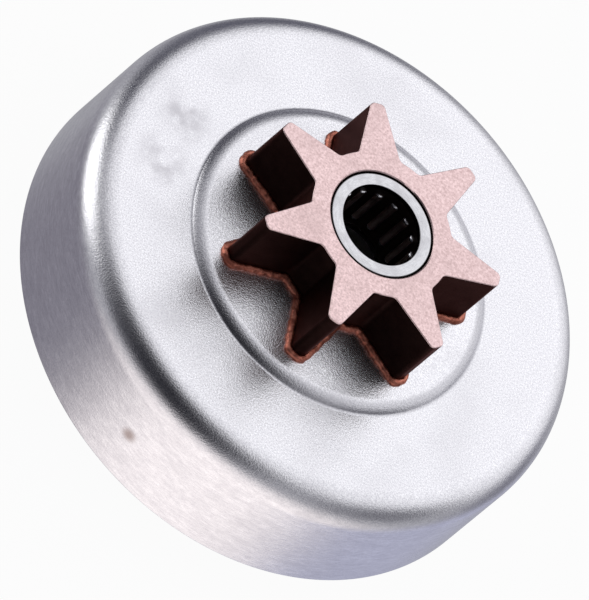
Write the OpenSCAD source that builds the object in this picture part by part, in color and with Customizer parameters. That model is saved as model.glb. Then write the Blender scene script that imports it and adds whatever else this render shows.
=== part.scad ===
// Clutch drum of a chainsaw: a drawn steel cup with a brazed spur sprocket and a pressed-in needle bearing.
// The origin is the centre of the open rim, +Z points to the sprocket, and one tooth lies along +X.

/* [Drum] */
// Outside diameter of the drum wall
drum_d = 84; // [78:0.5:96]
// Height of the drum's outer face above the open rim
drum_h = 21.5; // [16:0.5:30]
// Thickness of the drawn sheet
sheet = 2.4; // [1.8:0.1:3.2]
// Outside radius of the bend between wall and face
bend_r = 5; // [3.6:0.1:7]
// Chamfer on both edges of the turned rim
rim_chamfer = 0.3; // [0.1:0.05:0.6]

/* [Raised centre] */
// Diameter at the middle of the step that leads up to the raised centre
step_d = 48.7; // [47:0.1:56]
// Height of the raised centre above the face
step_rise = 1.1; // [0.9:0.1:1.6]
// Slope of the step
step_angle = 38; // [30:1:45]
// Outside radius at the foot of the step
step_foot_r = 0.7; // [0.4:0.1:0.9]
// Outside radius at the top of the step
step_crown_r = 1.4; // [0.8:0.1:1.5]

/* [Sprocket] */
// Number of teeth
teeth = 7; // [6:1:8]
// Diameter over the tips of the teeth
tip_d = 40.8; // [38.5:0.1:42]
// Diameter of the body between the teeth
root_d = 23.8; // [22.8:0.1:25.4]
// Width of a tooth where its flanks would meet the tip circle
tip_w = 2.2; // [1.8:0.1:3]
// Angle between each flank and the middle of its tooth
flank_angle = 15; // [11:0.5:18]
// Radius at the corners of a tooth's tip
tip_corner_r = 0.9; // [0.4:0.05:1]
// Radius between flank and body
root_fillet_r = 1.1; // [0.8:0.1:1.6]
// Height of the teeth above the raised centre
tooth_h = 11.9; // [8:0.1:14]
// Diameter of the spigot that passes through the drum
spigot_d = 21.8; // [20.6:0.1:22.6]
// Length of spigot that shows inside the drum
spigot_proud = 0.7; // [0.3:0.1:2]
// Chamfer at both mouths of the bearing's bore
bore_chamfer = 0.2; // [0.1:0.05:0.5]

/* [Braze] */
// Width and height of the copper bead round the foot of the sprocket
bead_w = 0.7; // [0.4:0.05:0.75]

/* [Needle bearing] */
// Diameter of the shaft that the needles run on
shaft_d = 12.7; // [12.3:0.1:13]
// Wall of the drawn shell
shell_wall = 0.75; // [0.6:0.01:0.85]
// Width of the bearing
bearing_w = 12.7; // [10:0.1:14]
// Thickness of the lips at both ends of the shell
lip_t = 0.8; // [0.5:0.05:1]
// Outside radius at both ends of the shell
shell_corner_r = 0.5; // [0.3:0.05:0.55]
// Radius on the edges of the lip holes
lip_edge_r = 0.15; // [0.05:0.05:0.3]
// Depth of the bearing below the sprocket's face
bearing_recess = 0.2; // [0:0.1:1]
// Number of needles
needle_count = 15; // [12:1:17]
// Diameter of a needle
needle_d = 1.588; // [1.5:0.01:1.62]
// Length of a needle
needle_l = 7.8; // [6:0.1:8.4]
// Chamfer on the ends of a needle
needle_chamfer = 0.15; // [0.05:0.05:0.3]
// Radial thickness of the cage
cage_t = 1; // [0.8:0.05:1.05]

/* [Clearances] */
// Running gap between the shaft and a needle
shaft_gap = 0.022; // [0.01:0.002:0.05]
// Gap between the shaft and the lips of the shell
lip_gap = 0.2; // [0.15:0.01:0.33]
// Running gap between a needle and its raceway
race_gap = 0.02; // [0.01:0.01:0.05]
// Running gap between a needle and the sides of its pocket
pocket_gap = 0.03; // [0.02:0.01:0.06]
// Gap at each end of a needle in its pocket
needle_end_gap = 0.05; // [0.02:0.01:0.1]
// Gap between the cage and each lip
cage_end_gap = 0.1; // [0.05:0.01:0.2]

/* [Hidden] */
$fn = 96;

drum_r = drum_d / 2;
centre_z = drum_h + step_rise;          // top of the raised centre
face_z = centre_z + tooth_h;            // end face of the sprocket
spigot_z = centre_z - sheet - spigot_proud;
root_r = root_d / 2;
tip_r = tip_d / 2;
needle_r = needle_d / 2;
pitch_r = shaft_d / 2 + shaft_gap + needle_r; // circle of the needles' axes
race_r = pitch_r + needle_r + race_gap;       // raceway inside the shell
bore_r = race_r + shell_wall;                 // the shell is pressed into this bore
lip_hole_r = shaft_d / 2 + lip_gap;
shell_top_z = face_z - bearing_recess;
shell_z = shell_top_z - bearing_w;
bearing_mid_z = shell_z + bearing_w / 2;
cage_l = bearing_w - 2 * (lip_t + cage_end_gap);
cage_mid_r = pitch_r + 0.05;            // the cage runs a little outside the pitch circle, so it holds the needles in
first_needle_angle = 18.5;
merge = 0.001;                          // arcs reach this far into the lines that they meet
inner_crown_r = 0.5;                    // radii of the step on the inside of the sheet
inner_foot_r = 1.4;
bead_land = 0.1;                        // width of the bead at its top

// The needle nodes are numbered from 01, one for each needle
NEEDLES = [for (i = [1 : needle_count]) str("needle_", i < 10 ? "0" : "", i)];

// Half of a tooth, worked out in the frame of its upper flank: n points out of the flank, t runs along it to the tip.
flank_n = [sin(flank_angle), cos(flank_angle)];
flank_t = [cos(flank_angle), -sin(flank_angle)];
flank_c = tip_r * sin(flank_angle) + tip_w / 2 * cos(flank_angle); // distance from the axis to the flank's line
function on_flank(off, along) = (flank_c + off) * flank_n + along * flank_t;
function flank_reach(off, r) = sqrt(r * r - (flank_c + off) * (flank_c + off));
tip_along = flank_reach(-tip_corner_r, tip_r - tip_corner_r);
root_along = flank_reach(root_fillet_r, root_r + root_fillet_r);
tip_c = on_flank(-tip_corner_r, tip_along);    // centre of the tip corner
root_c = on_flank(root_fillet_r, root_along);  // centre of the root fillet
function mirrored(p) = [p[0], -p[1]];
function direction(p) = atan2(p[1], p[0]);

// A tooth along +X, from the axis to its tip
module tooth() {
    half = [[0, 0], on_flank(0, root_along - root_fillet_r), on_flank(0, tip_along), tip_c, tip_c * 1.1];
    intersection() {
        circle(tip_r);
        polygon(concat(half, [for (i = [len(half) - 1 : -1 : 1]) mirrored(half[i])]));
    }
    for (c = [tip_c, mirrored(tip_c)]) translate(c) circle(tip_corner_r + merge);
}

// The metal that fills the corner between a tooth's upper flank and the body
module root_fillet() {
    difference() {
        polygon([[0, 0], root_c, on_flank(0, root_along)]);
        translate(root_c) circle(root_fillet_r + merge);
    }
}

module sprocket_outline() {
    circle(root_r);
    for (i = [0 : teeth - 1]) rotate(i * 360 / teeth) {
        tooth();
        root_fillet();
        mirror([0, 1]) root_fillet();
    }
}

module sprocket() {
    color("rosybrown")
    difference() {
        union() {
            translate([0, 0, centre_z]) linear_extrude(tooth_h) sprocket_outline();
            translate([0, 0, spigot_z]) cylinder(h = centre_z - spigot_z, d = spigot_d);
        }
        translate([0, 0, spigot_z - 1]) cylinder(h = face_z - spigot_z + 2, r = bore_r);
        for (end = [[face_z, 0], [spigot_z, 1]])
            translate([0, 0, end[0]]) mirror([0, 0, end[1]])
                translate([0, 0, -bore_chamfer])
                    cylinder(h = 2 * bore_chamfer, r1 = bore_r, r2 = bore_r + 2 * bore_chamfer);
    }
}

// The step of the pressed sheet, from the face at height z up to the raised centre; x is the middle of the step
module step_profile(x, z, crown_r, foot_r) {
    slope = [cos(step_angle), -sin(step_angle)];
    half_run = step_rise / tan(step_angle) / 2;
    crown = [x - half_run, z + step_rise];      // where slope and raised centre would meet
    foot = [x + half_run, z];                   // where slope and face would meet
    crown_t = crown_r * tan(step_angle / 2);
    foot_t = foot_r * tan(step_angle / 2);
    crown_c = crown + [-crown_t, -crown_r];
    foot_c = foot + [foot_t, foot_r];
    foot_on_slope = foot - foot_t * slope;
    polygon([[0, z - step_rise], [foot[0], z - step_rise], foot, crown + crown_t * slope,
             crown_c, crown + [-crown_t, 0], [0, z + step_rise]]);
    translate(crown_c) circle(crown_r + merge);
    difference() {
        polygon([[foot_on_slope[0], z - step_rise], [foot_c[0], z - step_rise], [foot_c[0], z], foot_c, foot_on_slope]);
        translate(foot_c) circle(foot_r + merge);
    }
}

// Half section of a cup of outside radius r and height h, filled in to the axis; mouth_run is how far its mouth chamfer runs out
module cup_profile(r, h, corner_r, mouth_run) {
    polygon([[0, -1], [r + mouth_run * (rim_chamfer + 1), -1], [r, rim_chamfer], [r, drum_h - bend_r], [0, drum_h - bend_r]]);
    square([drum_r - bend_r, h]);
    translate([drum_r - bend_r, drum_h - bend_r]) circle(corner_r);
}

// Drawn from one sheet, with its wall turned true
module drum_cup() {
    color("silver")
    rotate_extrude()
    difference() {
        intersection() {
            union() {
                cup_profile(drum_r, drum_h, bend_r, -1);
                step_profile(step_d / 2, drum_h, step_crown_r, step_foot_r);
            }
            square([drum_r + 1, centre_z + 1]);
        }
        cup_profile(drum_r - sheet, drum_h - sheet, bend_r - sheet, 1);
        step_profile(step_d / 2 - sheet * tan(step_angle / 2), drum_h - sheet, inner_crown_r, inner_foot_r);
        square([spigot_d / 2, centre_z + 1]);
    }
}

// Part of the bead's outside: it narrows from bead_w at the foot to bead_land at the top
module bead_cone(r, way) {
    cylinder(h = bead_w, r1 = r + way * bead_w, r2 = r + way * bead_land);
}

module bead_half_tooth() {
    rotate([90, 0, 90 - flank_angle])
        translate([flank_c, 0, root_along - 2 * root_fillet_r])
            linear_extrude(tip_along - root_along + 2 * root_fillet_r)
                polygon([[-bead_w, 0], [bead_w, 0], [bead_land, bead_w], [-bead_w, bead_w]]);
    translate(tip_c) bead_cone(tip_corner_r + merge, 1);
    difference() {
        linear_extrude(bead_w) polygon([[0, 0], root_c, on_flank(0, root_along)]);
        translate(root_c) bead_cone(root_fillet_r + merge, -1);
    }
}

// Copper that has run round the foot of the sprocket
module braze_bead() {
    color("peru")
    translate([0, 0, centre_z])
    difference() {
        union() {
            bead_cone(root_r, 1);
            for (i = [0 : teeth - 1]) rotate(i * 360 / teeth) {
                intersection() {
                    bead_cone(tip_r, 1);
                    linear_extrude(bead_w) polygon([[0, 0], tip_c * 1.2, mirrored(tip_c) * 1.2]);
                }
                bead_half_tooth();
                mirror([0, 1, 0]) bead_half_tooth();
            }
        }
        translate([0, 0, -1]) linear_extrude(bead_w + 2) sprocket_outline();
    }
}

// Half section of one end of the shell, with the open end of the bearing at y = 0
module shell_end_edges() {
    translate([bore_r - shell_corner_r, -shell_corner_r]) difference() {
        square(shell_corner_r + 1);
        circle(shell_corner_r);
    }
    translate([lip_hole_r + lip_edge_r, -lip_edge_r]) difference() {
        translate([-lip_edge_r - 1, 0]) square(lip_edge_r + 1);
        circle(lip_edge_r);
    }
}

// Drawn cup with both ends turned in
module bearing_shell() {
    color("whitesmoke")
    translate([0, 0, bearing_mid_z])
    rotate_extrude()
    difference() {
        translate([lip_hole_r, -bearing_w / 2]) square([bore_r - lip_hole_r, bearing_w]);
        translate([0, lip_t - bearing_w / 2]) square([race_r, bearing_w - 2 * lip_t]);
        translate([0, bearing_w / 2]) shell_end_edges();
        mirror([0, 1]) translate([0, bearing_w / 2]) shell_end_edges();
    }
}

module at_needle(i) {
    rotate(first_needle_angle + i * 360 / needle_count) translate([pitch_r, 0, bearing_mid_z]) children();
}

// One pocket for each needle, round like the needle, so that it can't drop out
module needle_cage() {
    pocket_l = needle_l + 2 * needle_end_gap;
    color("dimgray")
    difference() {
        translate([0, 0, bearing_mid_z - cage_l / 2]) cylinder(h = cage_l, r = cage_mid_r + cage_t / 2);
        translate([0, 0, bearing_mid_z - cage_l / 2 - 1]) cylinder(h = cage_l + 2, r = cage_mid_r - cage_t / 2);
        for (i = [0 : needle_count - 1])
            at_needle(i) cylinder(h = pocket_l, r = needle_r + pocket_gap, center = true);
    }
}

module needle(i) {
    straight_l = needle_l - 2 * needle_chamfer;
    color("gainsboro")
    at_needle(i) {
        cylinder(h = straight_l, r = needle_r, center = true);
        for (end = [0, 1]) mirror([0, 0, end]) translate([0, 0, straight_l / 2])
            cylinder(h = needle_chamfer, r1 = needle_r, r2 = needle_r - needle_chamfer);
    }
}

drum_cup();
sprocket();
braze_bead();
bearing_shell();
needle_cage();
for (i = [0 : needle_count - 1]) needle(i);
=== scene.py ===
# %% [markdown]
# # Dressing a clutch drum
# A clutch drum is the steel cup round a chainsaw's centrifugal clutch. A spur sprocket is brazed to its
# closed end and drives the chain, and a caged needle bearing lets the drum idle on the crankshaft.
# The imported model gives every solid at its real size, so this file only adds camera, light, finishes and
# the small shapes that a plain solid lacks: broken edges, a run of copper and crowned needle ends.

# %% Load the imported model
import math

import bmesh
import bpy
from mathutils import Matrix, Vector, noise


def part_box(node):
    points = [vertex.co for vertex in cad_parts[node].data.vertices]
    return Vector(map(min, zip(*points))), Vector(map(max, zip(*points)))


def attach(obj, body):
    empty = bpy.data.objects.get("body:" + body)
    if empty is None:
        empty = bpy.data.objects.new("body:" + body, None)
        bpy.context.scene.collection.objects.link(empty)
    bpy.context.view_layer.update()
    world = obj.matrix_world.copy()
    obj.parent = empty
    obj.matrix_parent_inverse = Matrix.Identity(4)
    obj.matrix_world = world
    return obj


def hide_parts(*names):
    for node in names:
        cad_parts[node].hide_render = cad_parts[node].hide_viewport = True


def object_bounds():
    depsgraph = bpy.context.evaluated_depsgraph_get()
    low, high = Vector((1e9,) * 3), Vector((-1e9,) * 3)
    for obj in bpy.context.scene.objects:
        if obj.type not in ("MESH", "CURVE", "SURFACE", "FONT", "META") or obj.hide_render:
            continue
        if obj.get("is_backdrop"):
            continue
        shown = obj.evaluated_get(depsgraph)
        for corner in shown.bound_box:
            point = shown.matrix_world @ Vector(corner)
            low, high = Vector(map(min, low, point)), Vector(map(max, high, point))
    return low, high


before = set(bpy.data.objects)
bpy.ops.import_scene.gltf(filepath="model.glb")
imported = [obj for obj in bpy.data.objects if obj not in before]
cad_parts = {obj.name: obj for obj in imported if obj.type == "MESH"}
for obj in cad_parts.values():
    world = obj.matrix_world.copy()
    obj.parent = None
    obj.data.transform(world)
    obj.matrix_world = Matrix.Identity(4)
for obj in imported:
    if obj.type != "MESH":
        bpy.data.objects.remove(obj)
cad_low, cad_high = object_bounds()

MM = 0.001
print("drum", [round((high - low) / MM, 1) for low, high in zip(cad_low, cad_high)], "mm")

# %% [markdown]
# ## Camera
# The photograph was taken from far off, so its lines stay parallel: a very long lens, far away, does the
# same. The camera looks down on the closed end from nearly 49 degrees, and it was held turned on its side by
# about 50 degrees, so the drum seems to lean. A direction in the plan plus a height is easier to read than
# Euler angles, so the camera's three axes are built from those and set as a matrix.

# %% Camera from azimuth, elevation and roll
VIEW_AZIMUTH = math.radians(-120.84)
VIEW_ELEVATION = math.radians(48.9)
VIEW_ROLL = math.radians(49.8)
VIEW_DISTANCE = 2.961
VIEW_AIM = Vector((0, 0, 10 * MM))
VIEW_RIGHT_OF_AIM = -0.65 * MM
VIEW_ABOVE_AIM = -0.74 * MM


def direction(azimuth, elevation):
    """Unit vector towards a point of the sky; azimuth is counted from +X to +Y."""
    flat = math.cos(elevation)
    return Vector((flat * math.cos(azimuth), flat * math.sin(azimuth), math.sin(elevation)))


to_camera = direction(VIEW_AZIMUTH, VIEW_ELEVATION)
level = Vector((0, 0, 1)).cross(to_camera).normalized()
upward = to_camera.cross(level)
image_right = math.cos(VIEW_ROLL) * level + math.sin(VIEW_ROLL) * upward
image_up = math.cos(VIEW_ROLL) * upward - math.sin(VIEW_ROLL) * level
camera_place = (VIEW_AIM + VIEW_DISTANCE * to_camera
                + VIEW_RIGHT_OF_AIM * image_right + VIEW_ABOVE_AIM * image_up)

camera = bpy.data.objects.new("camera", bpy.data.cameras.new("camera"))
camera.data.lens = 1200
camera.data.clip_end = 100
camera_turn = Matrix((image_right, image_up, to_camera)).transposed().to_4x4()
camera.matrix_world = Matrix.Translation(camera_place) @ camera_turn
bpy.context.scene.collection.objects.link(camera)
bpy.context.scene.camera = camera
print("camera at", [round(v, 3) for v in camera_place])

# %% [markdown]
# ## Light
# Bare metal shows what stands round it, so the light is arranged as reflections. The flat faces mirror the
# sky behind the drum, which is a large soft light. The bend between face and wall mirrors the side where
# the camera stands, and that side is kept dark: it draws the dark line round the face. The wall mirrors
# what lies below the horizon, a warm pale pool at the front right and grey at the left. The world holds all
# of it as soft round patches, each painted over the ones before, and one large lamp behind gives the floor
# its shadow.

# %% World as soft patches of light and dark
STUDIO_GREY = (0.42, 0.42, 0.45)

# Azimuth from the camera's own, elevation, core and edge radius, all in degrees, then the colour.
SKY_PATCHES = {
    "warm_pool": (24, -40, 14, 68, (1.22, 1.14, 1.12)),
    "grey_left_floor": (-78, -52, 10, 50, (0.25, 0.24, 0.28)),
    "blue_right_floor": (118, -48, 5, 36, (0.48, 0.49, 0.62)),
    "bright_back": (160, 46, 26, 74, (0.94, 0.94, 0.97)),
    "dark_far_left": (-155, -4, 6, 32, (0.10, 0.10, 0.13)),
    "dark_left_gap": (-122, 20, 9, 27, (0.05, 0.05, 0.07)),
    "dark_far_right": (132, -10, 5, 24, (0.20, 0.20, 0.24)),
    "dark_right_gap": (90, 22, 5, 30, (0.16, 0.16, 0.18)),
    "left_strip": (-87, 9, 12, 26, (2.00, 2.00, 2.00)),
    "camera_side": (-10, 48, 20, 50, (0.015, 0.015, 0.02)),
    "camera_notch": (-33, 26, 5, 20, (0.03, 0.03, 0.04)),
}

world = bpy.data.worlds.new("studio")
bpy.context.scene.world = world
world.use_nodes = True
sky = world.node_tree.nodes
sky_links = world.node_tree.links
sky.clear()
heading = sky.new("ShaderNodeTexCoord")


def sky_patch(below, azimuth, elevation, core, edge, colour):
    """Paints a soft round patch over the colour socket below."""
    centre = direction(VIEW_AZIMUTH + math.radians(azimuth), math.radians(elevation))
    towards = sky.new("ShaderNodeVectorMath")
    towards.operation = "DOT_PRODUCT"
    towards.inputs[1].default_value = centre
    fade = sky.new("ShaderNodeMapRange")
    fade.interpolation_type = "SMOOTHSTEP"
    fade.inputs["From Min"].default_value = math.cos(math.radians(edge))
    fade.inputs["From Max"].default_value = math.cos(math.radians(core))
    over = sky.new("ShaderNodeMix")
    over.data_type = "RGBA"
    over.inputs["B"].default_value = (*colour, 1)
    sky_links.new(heading.outputs["Generated"], towards.inputs[0])
    sky_links.new(towards.outputs["Value"], fade.inputs["Value"])
    sky_links.new(fade.outputs["Result"], over.inputs["Factor"])
    if below is None:
        over.inputs["A"].default_value = (*STUDIO_GREY, 1)
    else:
        sky_links.new(below, over.inputs["A"])
    return over.outputs["Result"]


painted_sky = None
for patch in SKY_PATCHES.values():
    painted_sky = sky_patch(painted_sky, *patch)
sky_light = sky.new("ShaderNodeBackground")
backdrop = sky.new("ShaderNodeBackground")
backdrop.inputs["Color"].default_value = (1, 1, 1, 1)
path = sky.new("ShaderNodeLightPath")
seen = sky.new("ShaderNodeMixShader")
world_out = sky.new("ShaderNodeOutputWorld")
sky_links.new(painted_sky, sky_light.inputs["Color"])
sky_links.new(path.outputs["Is Camera Ray"], seen.inputs["Fac"])
sky_links.new(sky_light.outputs[0], seen.inputs[1])
sky_links.new(backdrop.outputs[0], seen.inputs[2])
sky_links.new(seen.outputs[0], world_out.inputs["Surface"])
print("sky patches:", len(SKY_PATCHES))

# %% Soft lamp behind the part
LAMP_DISTANCE = 0.7


def softbox(name, azimuth, elevation, width, height, brightness):
    """A lamp that faces the part; brightness is what a mirror would show of it."""
    lamp = bpy.data.objects.new(name, bpy.data.lights.new(name, "AREA"))
    lamp.data.shape = "RECTANGLE"
    lamp.data.size = width
    lamp.data.size_y = height
    lamp.data.energy = brightness * math.pi * width * height
    back = direction(VIEW_AZIMUTH + math.radians(azimuth), math.radians(elevation))
    lamp.location = VIEW_AIM + LAMP_DISTANCE * back
    lamp.rotation_mode = "QUATERNION"
    lamp.rotation_quaternion = (-back).to_track_quat("-Z", "Y")
    lamp.visible_camera = False
    bpy.context.scene.collection.objects.link(lamp)
    print("softbox", name, "at", azimuth, elevation)


softbox("back_lamp", 165, 42, 0.50, 0.40, 0.20)

# %% [markdown]
# ## Floor
# The floor is white to the camera, with the drum's own soft shadow. Under the drum it is a separate plain
# disc, which stays dark as the inside of a closed cup does.

# %% Floor and the disc under the drum
FLOOR_WHITE = 0.95
FLOOR_PAINT = (0.88, 0.88, 0.88, 1)
UNDER_RADIUS = cad_high.x - 1.0 * MM


def disc(name, radius, height):
    shape = bmesh.new()
    bmesh.ops.create_circle(shape, cap_ends=True, segments=96, radius=radius,
                            matrix=Matrix.Translation((0, 0, height)))
    piece = bpy.data.objects.new(name, bpy.data.meshes.new(name))
    shape.to_mesh(piece.data)
    shape.free()
    bpy.context.scene.collection.objects.link(piece)
    piece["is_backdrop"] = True
    return piece


def floor_material(name, whiteness):
    """Diffuse paint that the camera sees partly as plain white, and not at all from below."""
    paint = bpy.data.materials.new(name)
    paint.use_nodes = True
    nodes, links = paint.node_tree.nodes, paint.node_tree.links
    nodes.clear()
    painted = nodes.new("ShaderNodeBsdfDiffuse")
    painted.inputs["Color"].default_value = FLOOR_PAINT
    glow = nodes.new("ShaderNodeEmission")
    floor_path = nodes.new("ShaderNodeLightPath")
    share = nodes.new("ShaderNodeMath")
    share.operation = "MULTIPLY"
    share.inputs[1].default_value = whiteness
    mix = nodes.new("ShaderNodeMixShader")
    facing = nodes.new("ShaderNodeNewGeometry")
    from_below = nodes.new("ShaderNodeMath")
    from_below.operation = "MULTIPLY"
    clear = nodes.new("ShaderNodeBsdfTransparent")
    open_below = nodes.new("ShaderNodeMixShader")
    out = nodes.new("ShaderNodeOutputMaterial")
    links.new(floor_path.outputs["Is Camera Ray"], share.inputs[0])
    links.new(floor_path.outputs["Is Camera Ray"], from_below.inputs[0])
    links.new(facing.outputs["Backfacing"], from_below.inputs[1])
    links.new(share.outputs[0], mix.inputs["Fac"])
    links.new(painted.outputs[0], mix.inputs[1])
    links.new(glow.outputs[0], mix.inputs[2])
    links.new(from_below.outputs[0], open_below.inputs["Fac"])
    links.new(mix.outputs[0], open_below.inputs[1])
    links.new(clear.outputs[0], open_below.inputs[2])
    links.new(open_below.outputs[0], out.inputs["Surface"])
    return paint


shaded = floor_material("shaded_floor", 0.0)
floor = disc("floor", 3.0, -0.10 * MM)
floor.data.materials.append(floor_material("pale_floor", FLOOR_WHITE))
floor.visible_glossy = False
under = disc("floor_under_drum", UNDER_RADIUS, -0.06 * MM)
under.data.materials.append(shaded)

# %% [markdown]
# ## Shared surface effects
# Three effects come back in nearly every finish. Tumbled and plated steel has a fine speckle. Handling
# leaves soft smudges. Turning leaves fine lines that run round the axis. Each is a node group with named
# inputs, so a material says how coarse and how strong it wants the effect. All read Object coordinates,
# which are metres.

# %% Node groups: speckle, smudges and turned lines


def new_group(name, inputs):
    """An empty group with a Vector input, the named value inputs and one Mask output."""
    group = bpy.data.node_groups.new(name, "ShaderNodeTree")
    group.interface.new_socket("Vector", in_out="INPUT", socket_type="NodeSocketVector")
    for socket in inputs:
        group.interface.new_socket(socket, in_out="INPUT", socket_type="NodeSocketFloat")
    group.interface.new_socket("Mask", in_out="OUTPUT", socket_type="NodeSocketFloat")
    given = group.nodes.new("NodeGroupInput")
    result = group.nodes.new("NodeGroupOutput")
    return group, given, result


def noise_node(nodes, links, vector, scale, detail, roughness=0.5):
    """A noise texture; scale is a number or a socket."""
    texture = nodes.new("ShaderNodeTexNoise")
    texture.inputs["Detail"].default_value = detail
    texture.inputs["Roughness"].default_value = roughness
    links.new(vector, texture.inputs["Vector"])
    if isinstance(scale, (int, float)):
        texture.inputs["Scale"].default_value = scale
    else:
        links.new(scale, texture.inputs["Scale"])
    return texture.outputs["Fac"]


def stretched(group, value, contrast):
    """Spreads a noise value about its middle and clamps it to 0 to 1."""
    centred = group.nodes.new("ShaderNodeMath")
    centred.operation = "SUBTRACT"
    centred.inputs[1].default_value = 0.5
    spread = group.nodes.new("ShaderNodeMath")
    spread.operation = "MULTIPLY_ADD"
    spread.inputs[2].default_value = 0.5
    spread.use_clamp = True
    group.links.new(value, centred.inputs[0])
    group.links.new(centred.outputs[0], spread.inputs[0])
    group.links.new(contrast, spread.inputs[1])
    return spread.outputs[0]


def build_speckle():
    group, given, result = new_group("speckle", ["Scale", "Contrast"])
    grains = noise_node(group.nodes, group.links, given.outputs["Vector"], given.outputs["Scale"], 3, 0.6)
    group.links.new(stretched(group, grains, given.outputs["Contrast"]), result.inputs["Mask"])
    return group


def build_smudges():
    group, given, result = new_group("smudges", ["Scale", "From", "To"])
    clouds = noise_node(group.nodes, group.links, given.outputs["Vector"], given.outputs["Scale"], 4, 0.55)
    faded = group.nodes.new("ShaderNodeMapRange")
    faded.interpolation_type = "SMOOTHSTEP"
    group.links.new(clouds, faded.inputs["Value"])
    group.links.new(given.outputs["From"], faded.inputs["From Min"])
    group.links.new(given.outputs["To"], faded.inputs["From Max"])
    group.links.new(faded.outputs["Result"], result.inputs["Mask"])
    return group


LINE_RUN = 0.25


def build_turned_lines():
    """Noise that changes fast with height and radius and slowly round the axis."""
    group, given, result = new_group("turned_lines", ["Scale", "Contrast"])
    nodes, links = group.nodes, group.links
    drawn_out = nodes.new("ShaderNodeVectorMath")
    drawn_out.operation = "MULTIPLY"
    drawn_out.inputs[1].default_value = (LINE_RUN, LINE_RUN, 1)
    flat = nodes.new("ShaderNodeVectorMath")
    flat.operation = "MULTIPLY"
    flat.inputs[1].default_value = (1, 1, 0)
    radius = nodes.new("ShaderNodeVectorMath")
    radius.operation = "LENGTH"
    rise = nodes.new("ShaderNodeCombineXYZ")
    ringed = nodes.new("ShaderNodeVectorMath")
    ringed.operation = "ADD"
    links.new(given.outputs["Vector"], drawn_out.inputs[0])
    links.new(given.outputs["Vector"], flat.inputs[0])
    links.new(flat.outputs[0], radius.inputs[0])
    links.new(radius.outputs["Value"], rise.inputs["Z"])
    links.new(drawn_out.outputs[0], ringed.inputs[0])
    links.new(rise.outputs[0], ringed.inputs[1])
    lines = noise_node(nodes, links, ringed.outputs[0], given.outputs["Scale"], 3, 0.6)
    links.new(stretched(group, lines, given.outputs["Contrast"]), result.inputs["Mask"])
    return group


SPECKLE = build_speckle()
SMUDGES = build_smudges()
TURNED_LINES = build_turned_lines()
print("node groups:", [group.name for group in bpy.data.node_groups])

# %% A short way to write a finish


class Finish:
    """A metal material that is built up step by step; every step returns a socket."""

    def __init__(self, name, metallic=1.0):
        self.material = bpy.data.materials.new(name)
        self.material.use_nodes = True
        self.nodes = self.material.node_tree.nodes
        self.links = self.material.node_tree.links
        self.shader = self.nodes["Principled BSDF"]
        self.shader.inputs["Metallic"].default_value = metallic
        coordinates = self.nodes.new("ShaderNodeTexCoord")
        self.place = coordinates.outputs["Object"]
        parts = self.nodes.new("ShaderNodeSeparateXYZ")
        self.links.new(self.place, parts.inputs[0])
        self.height = parts.outputs["Z"]
        flat = self.nodes.new("ShaderNodeVectorMath")
        flat.operation = "MULTIPLY"
        flat.inputs[1].default_value = (1, 1, 0)
        self.links.new(self.place, flat.inputs[0])
        length = self.nodes.new("ShaderNodeVectorMath")
        length.operation = "LENGTH"
        self.links.new(flat.outputs[0], length.inputs[0])
        self.radius = length.outputs["Value"]

    def effect(self, group, **values):
        node = self.nodes.new("ShaderNodeGroup")
        node.node_tree = group
        self.links.new(self.place, node.inputs["Vector"])
        for name, value in values.items():
            node.inputs[name].default_value = value
        return node.outputs["Mask"]

    def ramp(self, value, start, end, low=0.0, high=1.0, smooth=False):
        """Runs from low at start to high at end."""
        node = self.nodes.new("ShaderNodeMapRange")
        node.interpolation_type = "SMOOTHSTEP" if smooth else "LINEAR"
        self.links.new(value, node.inputs["Value"])
        node.inputs["From Min"].default_value = start
        node.inputs["From Max"].default_value = end
        node.inputs["To Min"].default_value = low
        node.inputs["To Max"].default_value = high
        return node.outputs["Result"]

    def near(self, point, core, edge):
        """1 within core of a point, 0 beyond edge."""
        node = self.nodes.new("ShaderNodeVectorMath")
        node.operation = "DISTANCE"
        self.links.new(self.place, node.inputs[0])
        node.inputs[1].default_value = point
        return self.ramp(node.outputs["Value"], core, edge, 1.0, 0.0, smooth=True)

    def math(self, operation, first, second):
        node = self.nodes.new("ShaderNodeMath")
        node.operation = operation
        for socket, value in zip(node.inputs, (first, second)):
            if isinstance(value, (int, float)):
                socket.default_value = value
            else:
                self.links.new(value, socket)
        return node.outputs[0]

    def blend(self, factor, first, second):
        """Mixes two colours, each a tuple or a socket."""
        node = self.nodes.new("ShaderNodeMix")
        node.data_type = "RGBA"
        self.links.new(factor, node.inputs["Factor"])
        for name, value in (("A", first), ("B", second)):
            if isinstance(value, tuple):
                node.inputs[name].default_value = (*value, 1)
            else:
                self.links.new(value, node.inputs[name])
        return node.outputs["Result"]

    def mix(self, factor, first, second):
        """Mixes two values, each a number or a socket."""
        node = self.nodes.new("ShaderNodeMix")
        node.data_type = "FLOAT"
        self.links.new(factor, node.inputs["Factor"])
        for name, value in (("A", first), ("B", second)):
            if isinstance(value, (int, float)):
                node.inputs[name].default_value = value
            else:
                self.links.new(value, node.inputs[name])
        return node.outputs["Result"]

    def colour(self, socket):
        self.links.new(socket, self.shader.inputs["Base Color"])

    def roughness(self, socket):
        self.links.new(socket, self.shader.inputs["Roughness"])

    def bump(self, height, depth, strength=1.0, below=None):
        node = self.nodes.new("ShaderNodeBump")
        node.inputs["Distance"].default_value = depth
        node.inputs["Strength"].default_value = strength
        self.links.new(height, node.inputs["Height"])
        if below is not None:
            self.links.new(below, node.inputs["Normal"])
        return node.outputs["Normal"]

    def normal(self, socket):
        self.links.new(socket, self.shader.inputs["Normal"])


# %% [markdown]
# ## Finish of the drum
# The drum is pressed from sheet, tumbled and plated, so its face is satin grey with a fine mottled speckle
# and a few cloudy smudges. Its wall was turned true afterwards and shows fine lines round the axis. One
# material does both: the height above the rim tells face and wall apart.

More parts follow.
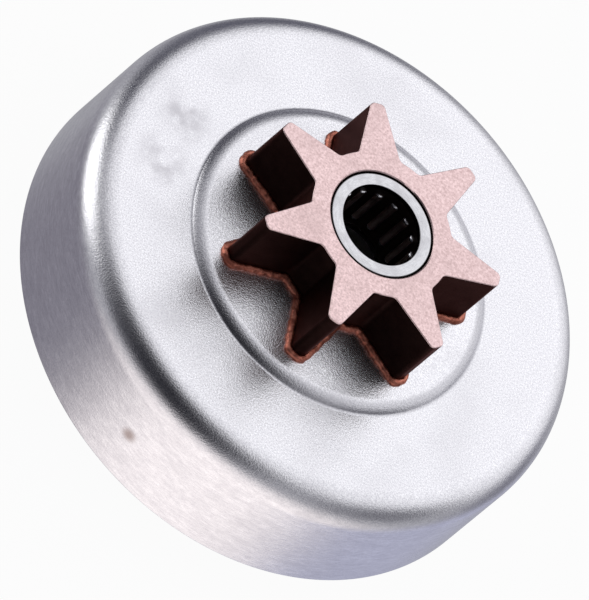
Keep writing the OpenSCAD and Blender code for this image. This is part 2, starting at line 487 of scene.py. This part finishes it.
# %% Plated drum steel
WALL_TOP = 17.5 * MM
FACE_EDGE = 20.6 * MM
RING_INSIDE = (22.8 * MM, 23.8 * MM)
RING_OUTSIDE = (25.5 * MM, 25.0 * MM)
STAIN = Vector((-22.0 * MM, -36.0 * MM, 9.0 * MM))
SCUFF_LOW = Vector((-31.0 * MM, 3.0 * MM, 21.5 * MM))
SCUFF_HIGH = Vector((-29.0 * MM, 12.0 * MM, 21.5 * MM))


def drum_steel():
    steel = Finish("plated_drum_steel")
    wall = steel.ramp(steel.height, WALL_TOP, FACE_EDGE, 1.0, 0.0, smooth=True)
    speckle = steel.effect(SPECKLE, Scale=4000, Contrast=3.6)
    coarse = steel.effect(SPECKLE, Scale=900, Contrast=1.6)
    blotches = steel.effect(TURNED_LINES, Scale=900, Contrast=3.2)
    clouds = steel.effect(SMUDGES, Scale=75, From=0.42, To=0.72)
    lines = steel.effect(TURNED_LINES, Scale=3000, Contrast=3.0)
    grain = steel.mix(steel.math("MULTIPLY", wall, 0.6), speckle, lines)
    plain = steel.blend(grain, (0.70, 0.695, 0.73), (0.97, 0.965, 0.99))
    blotched = steel.blend(steel.math("MULTIPLY", steel.math("MULTIPLY", wall, blotches), 0.35), plain,
                           (0.58, 0.57, 0.61))
    dulled = steel.blend(steel.math("MULTIPLY", clouds, 0.22), blotched, (0.58, 0.57, 0.60))
    scuffs = steel.math("MAXIMUM", steel.near(SCUFF_LOW, 1 * MM, 6 * MM),
                        steel.near(SCUFF_HIGH, 1 * MM, 6 * MM))
    scuffed = steel.blend(steel.math("MULTIPLY", scuffs, steel.effect(SMUDGES, Scale=260, From=0.36, To=0.66)),
                          dulled, (0.58, 0.57, 0.60))
    stained = steel.blend(steel.near(STAIN, 0.3 * MM, 1.8 * MM), scuffed, (0.42, 0.36, 0.35))
    # Painted shade: the step ring between the face and the raised centre is darkened in its colour.
    painted_ring_shade = steel.math("MULTIPLY", steel.ramp(steel.radius, *RING_INSIDE, smooth=True),
                       steel.ramp(steel.radius, *RING_OUTSIDE, smooth=True))
    steel.colour(steel.blend(steel.math("MULTIPLY", painted_ring_shade, 0.32), stained, (0.30, 0.295, 0.33)))
    steel.roughness(steel.ramp(clouds, 0, 1, 0.24, 0.28))
    fine = steel.bump(grain, 0.013 * MM)
    steel.normal(steel.bump(coarse, 0.007 * MM, below=fine))
    return steel.material


# %% [markdown]
# ## The drum as a turned section
# A body of revolution is best made from its section. The section's corners are a dozen points, each rounded
# by a vertex bevel whose cut is the radius times the tangent of half the turn. Spinning that outline gives
# even quads, so the bend reflects without the small flats of the solid's triangles.

# %% Sections that are rounded, then spun


def spun(name, corners, steps):
    """Spins a closed section round Z. Each corner is (radius, height, fillet radius, segments)."""
    shape = bmesh.new()
    points = [shape.verts.new((r, 0, z)) for r, z, _, _ in corners]
    shape.faces.new(points)
    count = len(corners)
    for k, (r, z, fillet, segments) in enumerate(corners):
        if fillet:
            here = Vector((r, z))
            before = (here - Vector(corners[k - 1][:2])).normalized()
            after = (Vector(corners[(k + 1) % count][:2]) - here).normalized()
            cut = fillet * math.tan(before.angle(after) / 2)
            bmesh.ops.bevel(shape, geom=[points[k]], offset=cut, offset_type="OFFSET", segments=segments,
                            profile=0.5, affect="VERTICES", material=-1)
    bmesh.ops.delete(shape, geom=shape.faces[:], context="FACES_ONLY")
    bmesh.ops.spin(shape, geom=shape.verts[:] + shape.edges[:], cent=(0, 0, 0), axis=(0, 0, 1),
                   angle=2 * math.pi, steps=steps, use_merge=True)
    bmesh.ops.recalc_face_normals(shape, faces=shape.faces[:])
    return finished(name, shape)


def finished(name, shape, sharp=30):
    """Turns a bmesh into a smooth-shaded object whose wide faces keep their own normals."""
    for face in shape.faces:
        face.smooth = True
    mesh = bpy.data.meshes.new(name)
    shape.to_mesh(mesh)
    shape.free()
    mesh.set_sharp_from_angle(angle=math.radians(sharp))
    piece = bpy.data.objects.new(name, mesh)
    bpy.context.scene.collection.objects.link(piece)
    even = piece.modifiers.new("even_normals", "WEIGHTED_NORMAL")
    even.keep_sharp = True
    print(name, len(mesh.polygons), "faces")
    return piece


def dress(piece, body, slot, material, *nodes):
    """Gives a new piece its finish and its body, and hides the nodes that it stands for."""
    piece.data.materials.append(material)
    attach(piece, body)
    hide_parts(*nodes)


# %% The drum cup
SHEET = 2.4 * MM
FACE_HEIGHT = 21.5 * MM
BEND = 5.0 * MM
STEP_MIDDLE = 24.5 * MM
DOME_RISE = 1.0 * MM
DOME_FOOT = 22.8 * MM
STEP_SLOPE = math.radians(46)
SPIGOT_RADIUS = 10.9 * MM
RIM_CHAMFER = 0.3 * MM
drum_radius = cad_high.x
centre_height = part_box("drum_cup")[1].z
step_rise = centre_height - FACE_HEIGHT
half_run = step_rise / math.tan(STEP_SLOPE) / 2
inner_middle = STEP_MIDDLE - SHEET * math.tan(STEP_SLOPE / 2)
inner_radius = drum_radius - SHEET

drum_corners = [
    (drum_radius - RIM_CHAMFER, 0, 0, 0),
    (drum_radius, RIM_CHAMFER, 0.3 * MM, 3),
    (drum_radius, FACE_HEIGHT, BEND, 28),
    (STEP_MIDDLE + half_run, FACE_HEIGHT, 0.7 * MM, 6),
    (STEP_MIDDLE - half_run, centre_height, 3.2 * MM, 14),
    (SPIGOT_RADIUS, centre_height + DOME_RISE, 0, 0),
    (SPIGOT_RADIUS, centre_height - SHEET, 0.15 * MM, 2),
    (inner_middle - half_run, centre_height - SHEET, 0.5 * MM, 4),
    (inner_middle + half_run, FACE_HEIGHT - SHEET, 1.4 * MM, 8),
    (inner_radius, FACE_HEIGHT - SHEET, BEND - SHEET, 16),
    (inner_radius, RIM_CHAMFER, 0.3 * MM, 3),
    (inner_radius + RIM_CHAMFER, 0, 0, 0),
]
drum = spun("drum_shell", drum_corners, 240)
dress(drum, "drum", "drum_steel", drum_steel(), "drum_cup")

# %% [markdown]
# ## The sprocket
# Seven teeth are broached into a turned bar. The end face is faced off bright after hardening, while the
# tooth flanks keep the near black scale of the heat treatment. The solid's outline is right, so its mesh is
# copied, its doubles merged and its flat faces joined, and then only the top edge is bevelled to catch the
# light.

# %% Sprocket with a broken edge
EDGE_BREAK = 0.14 * MM
FACED_START = 0.17 * MM
FACED_FULL = 0.13 * MM
SPIGOT_END = (20.2 * MM, 20.3 * MM)
face_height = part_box("sprocket")[1].z


def clean_copy(node):
    """A merged copy of a node's mesh with its flat faces in one piece."""
    shape = bmesh.new()
    shape.from_mesh(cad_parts[node].data)
    bmesh.ops.remove_doubles(shape, verts=shape.verts[:], dist=0.0005 * MM)
    bmesh.ops.recalc_face_normals(shape, faces=shape.faces[:])
    bmesh.ops.dissolve_limit(shape, angle_limit=math.radians(0.2), verts=shape.verts[:], edges=shape.edges[:])
    return shape


def at_height(edge, height):
    return all(abs(vert.co.z - height) < 0.001 * MM for vert in edge.verts)


def is_corner(edge):
    return len(edge.link_faces) == 2 and edge.calc_face_angle() > math.radians(60)


def sprocket_piece():
    shape = clean_copy("sprocket")
    top = [edge for edge in shape.edges if at_height(edge, face_height) and is_corner(edge)]
    bmesh.ops.bevel(shape, geom=top, offset=EDGE_BREAK, offset_type="OFFSET", segments=3, profile=0.5,
                    affect="EDGES", material=-1)
    return finished("sprocket_body", shape, sharp=35)


def sprocket_steel():
    steel = Finish("sprocket_steel")
    faced = steel.ramp(steel.height, face_height - FACED_START, face_height - FACED_FULL)
    spigot_end = steel.ramp(steel.height, *SPIGOT_END, 1.0, 0.0)
    bright = steel.math("MAXIMUM", faced, spigot_end)
    speckle = steel.effect(SPECKLE, Scale=3000, Contrast=3.0)
    clouds = steel.effect(SMUDGES, Scale=160, From=0.42, To=0.72)
    machined = steel.blend(speckle, (0.66, 0.48, 0.47), (1.0, 0.77, 0.76))
    aged = steel.blend(steel.math("MULTIPLY", clouds, 0.35), machined, (0.58, 0.43, 0.42))
    scale = steel.blend(steel.effect(SPECKLE, Scale=500, Contrast=1.5), (0.020, 0.009, 0.008),
                        (0.042, 0.022, 0.019))
    steel.colour(steel.blend(bright, scale, aged))
    steel.shader.inputs["Specular Tint"].default_value = (0.80, 0.58, 0.57, 1)
    steel.roughness(steel.mix(bright, 0.45, 0.38))
    steel.normal(steel.bump(speckle, 0.008 * MM))
    return steel.material


sprocket = sprocket_piece()
dress(sprocket, "drum", "sprocket_steel", sprocket_steel(), "sprocket")

# %% [markdown]
# ## The braze
# The sprocket is fixed to the drum with copper that melts in a furnace and runs round its foot. It leaves a
# rounded, slightly lumpy bead. The bead follows the foot of the teeth, so its path is taken from the
# sprocket's own bottom edge, moved out a little. A curve with a round bevel whose radius wanders makes the
# bead, and small noise in its mesh gives the drops.

# %% Bead along the foot of the teeth
BEAD_RADIUS = 0.63 * MM
BEAD_OUT = 0.22 * MM
BEAD_UP = 0.12 * MM
BEAD_STEP = 0.30 * MM
BEAD_WAVER = 0.20
BEAD_LUMP = 0.16 * MM


def foot_loop():
    """The sprocket's outline at its foot as an ordered list of points."""
    shape = clean_copy("sprocket")
    ring = [edge for edge in shape.edges
            if at_height(edge, centre_height) and is_corner(edge)
            and min(vert.co.xy.length for vert in edge.verts) > SPIGOT_RADIUS + 0.5 * MM]
    neighbours = {}
    for edge in ring:
        first, second = edge.verts
        neighbours.setdefault(first.index, []).append(second.index)
        neighbours.setdefault(second.index, []).append(first.index)
    shape.verts.ensure_lookup_table()
    start = ring[0].verts[0].index
    order, here, last = [start], neighbours[start][0], start
    while here != start:
        order.append(here)
        onward = [n for n in neighbours[here] if n != last]
        last, here = here, onward[0]
    points = [shape.verts[index].co.copy() for index in order]
    shape.free()
    return points


def even_steps(points, step):
    """The same closed line with evenly spaced points."""
    result = []
    carried = 0.0
    for first, second in zip(points, points[1:] + points[:1]):
        length = (second - first).length
        while carried < length:
            result.append(first.lerp(second, carried / length))
            carried += step
        carried -= length
    return result


def bead_piece():
    foot = even_steps(foot_loop(), BEAD_STEP)
    count = len(foot)
    area = sum(a.x * b.y - b.x * a.y for a, b in zip(foot, foot[1:] + foot[:1]))
    curve = bpy.data.curves.new("bead_path", "CURVE")
    curve.dimensions = "3D"
    curve.bevel_depth = BEAD_RADIUS
    curve.bevel_resolution = 5
    spline = curve.splines.new("POLY")
    spline.points.add(count - 1)
    spline.use_cyclic_u = True
    for k, point in enumerate(foot):
        run = foot[(k + 1) % count] - foot[k - 1]
        outward = Vector((run.y, -run.x, 0)).normalized() * (1 if area > 0 else -1)
        climb = DOME_RISE * (DOME_FOOT - point.xy.length) / (DOME_FOOT - SPIGOT_RADIUS)
        place = point + BEAD_OUT * outward + Vector((0, 0, BEAD_UP + climb))
        spline.points[k].co = (*place, 1)
        spline.points[k].radius = 1 + BEAD_WAVER * noise.noise(place * 900) + 0.10 * noise.noise(place * 2600)
    path = bpy.data.objects.new("bead_path", curve)
    bpy.context.scene.collection.objects.link(path)
    bpy.context.view_layer.update()
    tube = path.evaluated_get(bpy.context.evaluated_depsgraph_get()).to_mesh()
    shape = bmesh.new()
    shape.from_mesh(tube)
    bpy.data.objects.remove(path)
    bmesh.ops.recalc_face_normals(shape, faces=shape.faces[:])
    for vert in shape.verts:
        vert.co += vert.normal * BEAD_LUMP * (noise.noise(vert.co * 1400) + 0.6 * noise.noise(vert.co * 3200))
    return finished("copper_bead", shape, sharp=180)


def braze_copper():
    copper = Finish("braze_copper")
    speckle = copper.effect(SPECKLE, Scale=2600, Contrast=2.4)
    patches = copper.effect(SMUDGES, Scale=420, From=0.40, To=0.65)
    bright = copper.blend(speckle, (0.38, 0.11, 0.075), (0.70, 0.28, 0.20))
    copper.colour(copper.blend(copper.math("MULTIPLY", patches, 0.7), bright, (0.26, 0.075, 0.05)))
    copper.roughness(copper.ramp(patches, 0, 1, 0.38, 0.50))
    copper.normal(copper.bump(speckle, 0.040 * MM))
    return copper.material


bead = bead_piece()
dress(bead, "drum", "braze_copper", braze_copper(), "braze_bead")

# %% [markdown]
# ## The needle bearing
# The bearing is a thin drawn shell pressed into the sprocket, with both ends turned in as lips. Its lip is
# bright and finely turned. Its outer corner, where it meets the sprocket, and the wall of its hole are painted
# near black as shade. Inside, a blackened cage spaces the needles. They are hard and dark with grease, and
# their crowned ends are painted brighter and smoother as a glint.

# %% Bearing shell
LIP = 0.8 * MM
LIP_HOLE = 6.55 * MM
RACE_RADIUS = 7.98 * MM
SHELL_CORNER = 0.5 * MM
LIP_EDGE = 0.15 * MM
GROOVE_EDGE = (8.32 * MM, 8.42 * MM)
HOLE_EDGE = (6.68 * MM, 6.58 * MM)
shell_low, shell_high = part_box("bearing_shell")
shell_radius = shell_high.x

shell_corners = [
    (LIP_HOLE, shell_low.z, LIP_EDGE, 3),
    (shell_radius, shell_low.z, SHELL_CORNER, 6),
    (shell_radius, shell_high.z, SHELL_CORNER, 6),
    (LIP_HOLE, shell_high.z, LIP_EDGE, 3),
    (LIP_HOLE, shell_high.z - LIP, 0, 0),
    (RACE_RADIUS, shell_high.z - LIP, 0, 0),
    (RACE_RADIUS, shell_low.z + LIP, 0, 0),
    (LIP_HOLE, shell_low.z + LIP, 0, 0),
]


def shell_steel():
    steel = Finish("bearing_shell_steel")
    lines = steel.effect(TURNED_LINES, Scale=5000, Contrast=2.0)
    clouds = steel.effect(SMUDGES, Scale=500, From=0.42, To=0.62)
    # Painted shade: the shell's outer corner beyond the groove edge and the wall of the lip hole are coloured
    # near black.
    painted_groove_shade = steel.ramp(steel.radius, *GROOVE_EDGE)
    painted_hole_shade = steel.ramp(steel.radius, *HOLE_EDGE)
    bright = steel.blend(lines, (0.55, 0.55, 0.57), (0.80, 0.80, 0.82))
    worn = steel.blend(steel.math("MULTIPLY", clouds, 0.35), bright, (0.45, 0.44, 0.46))
    painted_shell_shade = steel.math("MAXIMUM", painted_groove_shade, painted_hole_shade)
    steel.colour(steel.blend(painted_shell_shade, worn, (0.02, 0.018, 0.018)))
    steel.roughness(steel.ramp(lines, 0, 1, 0.20, 0.30))
    steel.normal(steel.bump(lines, 0.004 * MM))
    return steel.material


shell = spun("bearing_shell_body", shell_corners, 160)
dress(shell, "drum", "bearing_steel", shell_steel(), "bearing_shell")

# %% Needles with crowned ends
NEEDLE_CROWN = 0.30 * MM


def needle_steel():
    steel = Finish("needle_steel")
    low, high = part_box("needle_01")
    speckle = steel.effect(SPECKLE, Scale=3000, Contrast=1.5)
    # Painted highlight: near both ends of each needle the colour turns brighter and the roughness lower, a
    # painted glint on the crowned ends.
    painted_end_glint = steel.math("MAXIMUM",
                      steel.ramp(steel.height, high.z - 0.45 * MM, high.z - 0.25 * MM),
                      steel.ramp(steel.height, low.z + 0.45 * MM, low.z + 0.25 * MM))
    oily = steel.blend(speckle, (0.62, 0.47, 0.44), (0.80, 0.64, 0.60))
    steel.colour(steel.blend(painted_end_glint, oily, (0.80, 0.80, 0.82)))
    steel.roughness(steel.mix(painted_end_glint, 0.32, 0.22))
    steel.normal(steel.bump(speckle, 0.001 * MM))
    return steel.material


needle_finish = needle_steel()
needle_nodes = sorted(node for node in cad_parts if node.startswith("needle_") and node != "needle_cage")
for node in needle_nodes:
    low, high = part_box(node)
    middle = (low + high) / 2
    needle = bmesh.new()
    bmesh.ops.create_cone(needle, cap_ends=True, segments=40, radius1=(high.x - low.x) / 2,
                          radius2=(high.x - low.x) / 2, depth=high.z - low.z,
                          matrix=Matrix.Translation(middle))
    rims = [edge for edge in needle.edges if at_height(edge, low.z) or at_height(edge, high.z)]
    bmesh.ops.bevel(needle, geom=rims, offset=NEEDLE_CROWN, offset_type="OFFSET", segments=4, profile=0.5,
                    affect="EDGES", material=-1)
    dress(finished(node.replace("needle", "roller"), needle), node, "needle_steel", needle_finish, node)

# %% Cage


def cage_steel():
    steel = Finish("blackened_cage")
    speckle = steel.effect(SPECKLE, Scale=2500, Contrast=1.6)
    steel.colour(steel.blend(speckle, (0.035, 0.022, 0.020), (0.075, 0.052, 0.048)))
    steel.roughness(steel.ramp(speckle, 0, 1, 0.35, 0.5))
    steel.normal(steel.bump(speckle, 0.004 * MM))
    return steel.material


cage_material = cage_steel()
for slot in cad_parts["needle_cage"].material_slots:
    slot.material = cage_material

# %% [markdown]
# The Standard view keeps colours as they are written, and the box round the visual model is measured once
# more. The visual model has to stay inside the imported model's box.

bpy.context.scene.view_settings.view_transform = "Standard"
low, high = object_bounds()
